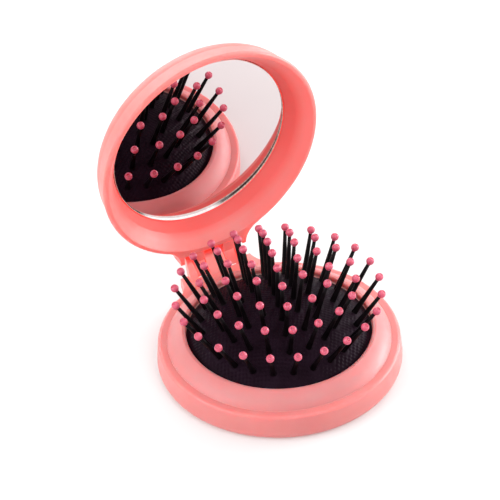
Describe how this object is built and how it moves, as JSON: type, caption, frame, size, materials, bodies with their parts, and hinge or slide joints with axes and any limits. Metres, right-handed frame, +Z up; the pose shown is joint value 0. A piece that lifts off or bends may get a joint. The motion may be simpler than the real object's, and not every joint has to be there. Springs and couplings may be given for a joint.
{
  "type": "folding hairbrush with mirror",
  "caption": "Round pocket compact: the base carries a domed rubber pad of ball-tipped bristles that folds inward, and the hinged lid carries a mirror.",
  "frame": {"origin": "centre of the base's underside, on the plane that it rests on", "axes": "+Z up, +Y towards the hinge, +X along the hinge pin; the lid stands open and the bristles are out"},
  "size_m": [0.0696, 0.0832, 0.0838],
  "materials": {
    "shell_coral": "satin moulded",
    "ring_coral": "satin moulded",
    "pad_rubber": "matt, embossed with a fine grid",
    "bristle_nylon": "semi-gloss",
    "ball_pink": "satin",
    "mirror_glass": "silvered",
    "tape_foam": "foam",
    "pin_steel": "drawn wire"
  },
  "bodies": {
    "base": {"base_shell": "shell_coral", "base_ring": "ring_coral", "bristle_pad": "pad_rubber", "hinge_pin": "pin_steel"},
    "lid": {"lid_shell": "shell_coral", "mirror": "mirror_glass", "mirror_tape": "tape_foam"},
    "bristles_inner": {"bristle_centre": "bristle_nylon", "bristles_ring_1": "bristle_nylon", "balls_inner": "ball_pink"},
    "pair_2_1": {"bristle_pair_2_1": "bristle_nylon"},
    "pair_2_2": {"bristle_pair_2_2": "bristle_nylon"},
    "pair_2_3": {"bristle_pair_2_3": "bristle_nylon"},
    "pair_2_4": {"bristle_pair_2_4": "bristle_nylon"},
    "pair_2_5": {"bristle_pair_2_5": "bristle_nylon"},
    "pair_2_6": {"bristle_pair_2_6": "bristle_nylon"},
    "pin_3_01": {"bristle_3_01": "bristle_nylon"},
    "pin_3_02": {"bristle_3_02": "bristle_nylon"},
    "pin_3_03": {"bristle_3_03": "bristle_nylon"},
    "pin_3_04": {"bristle_3_04": "bristle_nylon"},
    "pin_3_05": {"bristle_3_05": "bristle_nylon"},
    "pin_3_06": {"bristle_3_06": "bristle_nylon"},
    "pin_3_07": {"bristle_3_07": "bristle_nylon"},
    "pin_3_08": {"bristle_3_08": "bristle_nylon"},
    "pin_3_09": {"bristle_3_09": "bristle_nylon"},
    "pin_3_10": {"bristle_3_10": "bristle_nylon"},
    "pin_3_11": {"bristle_3_11": "bristle_nylon"},
    "pin_3_12": {"bristle_3_12": "bristle_nylon"},
    "pin_3_13": {"bristle_3_13": "bristle_nylon"},
    "pin_3_14": {"bristle_3_14": "bristle_nylon"},
    "pin_3_15": {"bristle_3_15": "bristle_nylon"},
    "pin_3_16": {"bristle_3_16": "bristle_nylon"},
    "pin_3_17": {"bristle_3_17": "bristle_nylon"},
    "pin_3_18": {"bristle_3_18": "bristle_nylon"},
    "pin_4_01": {"bristle_4_01": "bristle_nylon"},
    "pin_4_02": {"bristle_4_02": "bristle_nylon"},
    "pin_4_03": {"bristle_4_03": "bristle_nylon"},
    "pin_4_04": {"bristle_4_04": "bristle_nylon"},
    "pin_4_05": {"bristle_4_05": "bristle_nylon"},
    "pin_4_06": {"bristle_4_06": "bristle_nylon"},
    "pin_4_07": {"bristle_4_07": "bristle_nylon"},
    "pin_4_08": {"bristle_4_08": "bristle_nylon"},
    "pin_4_09": {"bristle_4_09": "bristle_nylon"},
    "pin_4_10": {"bristle_4_10": "bristle_nylon"},
    "pin_4_11": {"bristle_4_11": "bristle_nylon"},
    "pin_4_12": {"bristle_4_12": "bristle_nylon"},
    "pin_4_13": {"bristle_4_13": "bristle_nylon"},
    "pin_4_14": {"bristle_4_14": "bristle_nylon"},
    "pin_4_15": {"bristle_4_15": "bristle_nylon"},
    "pin_4_16": {"bristle_4_16": "bristle_nylon"},
    "pin_4_17": {"bristle_4_17": "bristle_nylon"},
    "pin_4_18": {"bristle_4_18": "bristle_nylon"},
    "pin_4_19": {"bristle_4_19": "bristle_nylon"},
    "pin_4_20": {"bristle_4_20": "bristle_nylon"},
    "pin_4_21": {"bristle_4_21": "bristle_nylon"},
    "pin_4_22": {"bristle_4_22": "bristle_nylon"},
    "pin_4_23": {"bristle_4_23": "bristle_nylon"},
    "pin_4_24": {"bristle_4_24": "bristle_nylon"}
  },
  "joints": [
    {"name": "lid_hinge", "type": "hinge", "parent": "base", "child": "lid", "pos_m": [0, 0.0395, 0.01], "axis": [1, 0, 0], "range_deg": [0, 87]},
    {"name": "pad_drop", "type": "slide", "parent": "base", "child": "bristles_inner", "axis": [0, 0, -1], "range_m": [0, 0.01866], "deforming": ["bristle_pad"]},
    {"name": "pair_2_1_lean", "type": "hinge", "parent": "base", "child": "pair_2_1", "pos_m": [0.05168, 0.02532, 0.00977], "axis": [0.4399, -0.898, 0], "range_deg": [0, 20.6]},
    {"name": "pair_2_2_lean", "type": "hinge", "parent": "base", "child": "pair_2_2", "pos_m": [0.00391, 0.05742, 0.00977], "axis": [0.9977, -0.068, 0], "range_deg": [0, 20.6]},
    {"name": "pair_2_3_lean", "type": "hinge", "parent": "base", "child": "pair_2_3", "pos_m": [-0.04777, 0.0321, 0.00977], "axis": [0.5577, 0.83, 0], "range_deg": [0, 20.6]},
    {"name": "pair_2_4_lean", "type": "hinge", "parent": "base", "child": "pair_2_4", "pos_m": [-0.05168, -0.02532, 0.00977], "axis": [-0.4399, 0.898, 0], "range_deg": [0, 20.6]},
    {"name": "pair_2_5_lean", "type": "hinge", "parent": "base", "child": "pair_2_5", "pos_m": [-0.00391, -0.05742, 0.00977], "axis": [-0.9977, 0.068, 0], "range_deg": [0, 20.6]},
    {"name": "pair_2_6_lean", "type": "hinge", "parent": "base", "child": "pair_2_6", "pos_m": [0.04777, -0.0321, 0.00977], "axis": [-0.5577, -0.83, 0], "range_deg": [0, 20.6]},
    {"name": "pin_3_01_lean", "type": "hinge", "parent": "base", "child": "pin_3_01", "pos_m": [0.03603, 0.00707, 0.00904], "axis": [0.1925, -0.9813, 0], "range_deg": [0, 39.67]},
    {"name": "pin_3_02_lean", "type": "hinge", "parent": "base", "child": "pin_3_02", "pos_m": [0.03144, 0.01897, 0.00904], "axis": [0.5165, -0.8563, 0], "range_deg": [0, 39.67]},
    {"name": "pin_3_03_lean", "type": "hinge", "parent": "base", "child": "pin_3_03", "pos_m": [0.02306, 0.02858, 0.00904], "axis": [0.7782, -0.628, 0], "range_deg": [0, 39.67]},
    {"name": "pin_3_04_lean", "type": "hinge", "parent": "base", "child": "pin_3_04", "pos_m": [0.01189, 0.03474, 0.00904], "axis": [0.9461, -0.3239, 0], "range_deg": [0, 39.67]},
    {"name": "pin_3_05_lean", "type": "hinge", "parent": "base", "child": "pin_3_05", "pos_m": [-0.0007, 0.03671, 0.00904], "axis": [0.9998, 0.0192, 0], "range_deg": [0, 39.67]},
    {"name": "pin_3_06_lean", "type": "hinge", "parent": "base", "child": "pin_3_06", "pos_m": [-0.01322, 0.03426, 0.00904], "axis": [0.933, 0.36, 0], "range_deg": [0, 39.67]},
    {"name": "pin_3_07_lean", "type": "hinge", "parent": "base", "child": "pin_3_07", "pos_m": [-0.02414, 0.02767, 0.00904], "axis": [0.7536, 0.6574, 0], "range_deg": [0, 39.67]},
    {"name": "pin_3_08_lean", "type": "hinge", "parent": "base", "child": "pin_3_08", "pos_m": [-0.03215, 0.01775, 0.00904], "axis": [0.4833, 0.8755, 0], "range_deg": [0, 39.67]},
    {"name": "pin_3_09_lean", "type": "hinge", "parent": "base", "child": "pin_3_09", "pos_m": [-0.03628, 0.00568, 0.00904], "axis": [0.1547, 0.988, 0], "range_deg": [0, 39.67]},
    {"name": "pin_3_10_lean", "type": "hinge", "parent": "base", "child": "pin_3_10", "pos_m": [-0.03603, -0.00707, 0.00904], "axis": [-0.1925, 0.9813, 0], "range_deg": [0, 39.67]},
    {"name": "pin_3_11_lean", "type": "hinge", "parent": "base", "child": "pin_3_11", "pos_m": [-0.03144, -0.01897, 0.00904], "axis": [-0.5165, 0.8563, 0], "range_deg": [0, 39.67]},
    {"name": "pin_3_12_lean", "type": "hinge", "parent": "base", "child": "pin_3_12", "pos_m": [-0.02306, -0.02858, 0.00904], "axis": [-0.7782, 0.628, 0], "range_deg": [0, 39.67]},
    {"name": "pin_3_13_lean", "type": "hinge", "parent": "base", "child": "pin_3_13", "pos_m": [-0.01189, -0.03474, 0.00904], "axis": [-0.9461, 0.3239, 0], "range_deg": [0, 39.67]},
    {"name": "pin_3_14_lean", "type": "hinge", "parent": "base", "child": "pin_3_14", "pos_m": [0.0007, -0.03671, 0.00904], "axis": [-0.9998, -0.0192, 0], "range_deg": [0, 39.67]},
    {"name": "pin_3_15_lean", "type": "hinge", "parent": "base", "child": "pin_3_15", "pos_m": [0.01322, -0.03426, 0.00904], "axis": [-0.933, -0.36, 0], "range_deg": [0, 39.67]},
    {"name": "pin_3_16_lean", "type": "hinge", "parent": "base", "child": "pin_3_16", "pos_m": [0.02414, -0.02767, 0.00904], "axis": [-0.7536, -0.6574, 0], "range_deg": [0, 39.67]},
    {"name": "pin_3_17_lean", "type": "hinge", "parent": "base", "child": "pin_3_17", "pos_m": [0.03215, -0.01775, 0.00904], "axis": [-0.4833, -0.8755, 0], "range_deg": [0, 39.67]},
    {"name": "pin_3_18_lean", "type": "hinge", "parent": "base", "child": "pin_3_18", "pos_m": [0.03628, -0.00568, 0.00904], "axis": [-0.1547, -0.988, 0], "range_deg": [0, 39.67]},
    {"name": "pin_4_01_lean", "type": "hinge", "parent": "base", "child": "pin_4_01", "pos_m": [0.03023, 0.00593, 0.0082], "axis": [0.1925, -0.9813, 0], "range_deg": [0, 60.94]},
    {"name": "pin_4_02_lean", "type": "hinge", "parent": "base", "child": "pin_4_02", "pos_m": [0.02766, 0.01355, 0.0082], "axis": [0.4399, -0.898, 0], "range_deg": [0, 60.94]},
    {"name": "pin_4_03_lean", "type": "hinge", "parent": "base", "child": "pin_4_03", "pos_m": [0.02321, 0.02025, 0.0082], "axis": [0.6574, -0.7536, 0], "range_deg": [0, 60.94]},
    {"name": "pin_4_04_lean", "type": "hinge", "parent": "base", "child": "pin_4_04", "pos_m": [0.01718, 0.02557, 0.0082], "axis": [0.83, -0.5577, 0], "range_deg": [0, 60.94]},
    {"name": "pin_4_05_lean", "type": "hinge", "parent": "base", "child": "pin_4_05", "pos_m": [0.00998, 0.02914, 0.0082], "axis": [0.9461, -0.3239, 0], "range_deg": [0, 60.94]},
    {"name": "pin_4_06_lean", "type": "hinge", "parent": "base", "child": "pin_4_06", "pos_m": [0.0021, 0.03073, 0.0082], "axis": [0.9977, -0.068, 0], "range_deg": [0, 60.94]},
    {"name": "pin_4_07_lean", "type": "hinge", "parent": "base", "child": "pin_4_07", "pos_m": [-0.00593, 0.03023, 0.0082], "axis": [0.9813, 0.1925, 0], "range_deg": [0, 60.94]},
    {"name": "pin_4_08_lean", "type": "hinge", "parent": "base", "child": "pin_4_08", "pos_m": [-0.01355, 0.02766, 0.0082], "axis": [0.898, 0.4399, 0], "range_deg": [0, 60.94]},
    {"name": "pin_4_09_lean", "type": "hinge", "parent": "base", "child": "pin_4_09", "pos_m": [-0.02025, 0.02321, 0.0082], "axis": [0.7536, 0.6574, 0], "range_deg": [0, 60.94]},
    {"name": "pin_4_10_lean", "type": "hinge", "parent": "base", "child": "pin_4_10", "pos_m": [-0.02557, 0.01718, 0.0082], "axis": [0.5577, 0.83, 0], "range_deg": [0, 60.94]},
    {"name": "pin_4_11_lean", "type": "hinge", "parent": "base", "child": "pin_4_11", "pos_m": [-0.02914, 0.00998, 0.0082], "axis": [0.3239, 0.9461, 0], "range_deg": [0, 60.94]},
    {"name": "pin_4_12_lean", "type": "hinge", "parent": "base", "child": "pin_4_12", "pos_m": [-0.03073, 0.0021, 0.0082], "axis": [0.068, 0.9977, 0], "range_deg": [0, 60.94]},
    {"name": "pin_4_13_lean", "type": "hinge", "parent": "base", "child": "pin_4_13", "pos_m": [-0.03023, -0.00593, 0.0082], "axis": [-0.1925, 0.9813, 0], "range_deg": [0, 60.94]},
    {"name": "pin_4_14_lean", "type": "hinge", "parent": "base", "child": "pin_4_14", "pos_m": [-0.02766, -0.01355, 0.0082], "axis": [-0.4399, 0.898, 0], "range_deg": [0, 60.94]},
    {"name": "pin_4_15_lean", "type": "hinge", "parent": "base", "child": "pin_4_15", "pos_m": [-0.02321, -0.02025, 0.0082], "axis": [-0.6574, 0.7536, 0], "range_deg": [0, 60.94]},
    {"name": "pin_4_16_lean", "type": "hinge", "parent": "base", "child": "pin_4_16", "pos_m": [-0.01718, -0.02557, 0.0082], "axis": [-0.83, 0.5577, 0], "range_deg": [0, 60.94]},
    {"name": "pin_4_17_lean", "type": "hinge", "parent": "base", "child": "pin_4_17", "pos_m": [-0.00998, -0.02914, 0.0082], "axis": [-0.9461, 0.3239, 0], "range_deg": [0, 60.94]},
    {"name": "pin_4_18_lean", "type": "hinge", "parent": "base", "child": "pin_4_18", "pos_m": [-0.0021, -0.03073, 0.0082], "axis": [-0.9977, 0.068, 0], "range_deg": [0, 60.94]},
    {"name": "pin_4_19_lean", "type": "hinge", "parent": "base", "child": "pin_4_19", "pos_m": [0.00593, -0.03023, 0.0082], "axis": [-0.9813, -0.1925, 0], "range_deg": [0, 60.94]},
    {"name": "pin_4_20_lean", "type": "hinge", "parent": "base", "child": "pin_4_20", "pos_m": [0.01355, -0.02766, 0.0082], "axis": [-0.898, -0.4399, 0], "range_deg": [0, 60.94]},
    {"name": "pin_4_21_lean", "type": "hinge", "parent": "base", "child": "pin_4_21", "pos_m": [0.02025, -0.02321, 0.0082], "axis": [-0.7536, -0.6574, 0], "range_deg": [0, 60.94]},
    {"name": "pin_4_22_lean", "type": "hinge", "parent": "base", "child": "pin_4_22", "pos_m": [0.02557, -0.01718, 0.0082], "axis": [-0.5577, -0.83, 0], "range_deg": [0, 60.94]},
    {"name": "pin_4_23_lean", "type": "hinge", "parent": "base", "child": "pin_4_23", "pos_m": [0.02914, -0.00998, 0.0082], "axis": [-0.3239, -0.9461, 0], "range_deg": [0, 60.94]},
    {"name": "pin_4_24_lean", "type": "hinge", "parent": "base", "child": "pin_4_24", "pos_m": [0.03073, -0.0021, 0.0082], "axis": [-0.068, -0.9977, 0], "range_deg": [0, 60.94]}
  ],
  "couplings": [
    {"joint": "pad_drop", "follows": "lid_hinge", "m_per_rad": 0.012282},
    {"joint": "pair_2_1_lean", "follows": "lid_hinge", "ratio": 0.23661},
    {"joint": "pair_2_2_lean", "follows": "lid_hinge", "ratio": 0.23661},
    {"joint": "pair_2_3_lean", "follows": "lid_hinge", "ratio": 0.23661},
    {"joint": "pair_2_4_lean", "follows": "lid_hinge", "ratio": 0.23661},
    {"joint": "pair_2_5_lean", "follows": "lid_hinge", "ratio": 0.23661},
    {"joint": "pair_2_6_lean", "follows": "lid_hinge", "ratio": 0.23661},
    {"joint": "pin_3_01_lean", "follows": "lid_hinge", "ratio": 0.45592},
    {"joint": "pin_3_02_lean", "follows": "lid_hinge", "ratio": 0.45592},
    {"joint": "pin_3_03_lean", "follows": "lid_hinge", "ratio": 0.45592},
    {"joint": "pin_3_04_lean", "follows": "lid_hinge", "ratio": 0.45592},
    {"joint": "pin_3_05_lean", "follows": "lid_hinge", "ratio": 0.45592},
    {"joint": "pin_3_06_lean", "follows": "lid_hinge", "ratio": 0.45592},
    {"joint": "pin_3_07_lean", "follows": "lid_hinge", "ratio": 0.45592},
    {"joint": "pin_3_08_lean", "follows": "lid_hinge", "ratio": 0.45592},
    {"joint": "pin_3_09_lean", "follows": "lid_hinge", "ratio": 0.45592},
    {"joint": "pin_3_10_lean", "follows": "lid_hinge", "ratio": 0.45592},
    {"joint": "pin_3_11_lean", "follows": "lid_hinge", "ratio": 0.45592},
    {"joint": "pin_3_12_lean", "follows": "lid_hinge", "ratio": 0.45592},
    {"joint": "pin_3_13_lean", "follows": "lid_hinge", "ratio": 0.45592},
    {"joint": "pin_3_14_lean", "follows": "lid_hinge", "ratio": 0.45592},
    {"joint": "pin_3_15_lean", "follows": "lid_hinge", "ratio": 0.45592},
    {"joint": "pin_3_16_lean", "follows": "lid_hinge", "ratio": 0.45592},
    {"joint": "pin_3_17_lean", "follows": "lid_hinge", "ratio": 0.45592},
    {"joint": "pin_3_18_lean", "follows": "lid_hinge", "ratio": 0.45592},
    {"joint": "pin_4_01_lean", "follows": "lid_hinge", "ratio": 0.70029},
    {"joint": "pin_4_02_lean", "follows": "lid_hinge", "ratio": 0.70029},
    {"joint": "pin_4_03_lean", "follows": "lid_hinge", "ratio": 0.70029},
    {"joint": "pin_4_04_lean", "follows": "lid_hinge", "ratio": 0.70029},
    {"joint": "pin_4_05_lean", "follows": "lid_hinge", "ratio": 0.70029},
    {"joint": "pin_4_06_lean", "follows": "lid_hinge", "ratio": 0.70029},
    {"joint": "pin_4_07_lean", "follows": "lid_hinge", "ratio": 0.70029},
    {"joint": "pin_4_08_lean", "follows": "lid_hinge", "ratio": 0.70029},
    {"joint": "pin_4_09_lean", "follows": "lid_hinge", "ratio": 0.70029},
    {"joint": "pin_4_10_lean", "follows": "lid_hinge", "ratio": 0.70029},
    {"joint": "pin_4_11_lean", "follows": "lid_hinge", "ratio": 0.70029},
    {"joint": "pin_4_12_lean", "follows": "lid_hinge", "ratio": 0.70029},
    {"joint": "pin_4_13_lean", "follows": "lid_hinge", "ratio": 0.70029},
    {"joint": "pin_4_14_lean", "follows": "lid_hinge", "ratio": 0.70029},
    {"joint": "pin_4_15_lean", "follows": "lid_hinge", "ratio": 0.70029},
    {"joint": "pin_4_16_lean", "follows": "lid_hinge", "ratio": 0.70029},
    {"joint": "pin_4_17_lean", "follows": "lid_hinge", "ratio": 0.70029},
    {"joint": "pin_4_18_lean", "follows": "lid_hinge", "ratio": 0.70029},
    {"joint": "pin_4_19_lean", "follows": "lid_hinge", "ratio": 0.70029},
    {"joint": "pin_4_20_lean", "follows": "lid_hinge", "ratio": 0.70029},
    {"joint": "pin_4_21_lean", "follows": "lid_hinge", "ratio": 0.70029},
    {"joint": "pin_4_22_lean", "follows": "lid_hinge", "ratio": 0.70029},
    {"joint": "pin_4_23_lean", "follows": "lid_hinge", "ratio": 0.70029},
    {"joint": "pin_4_24_lean", "follows": "lid_hinge", "ratio": 0.70029}
  ]
}
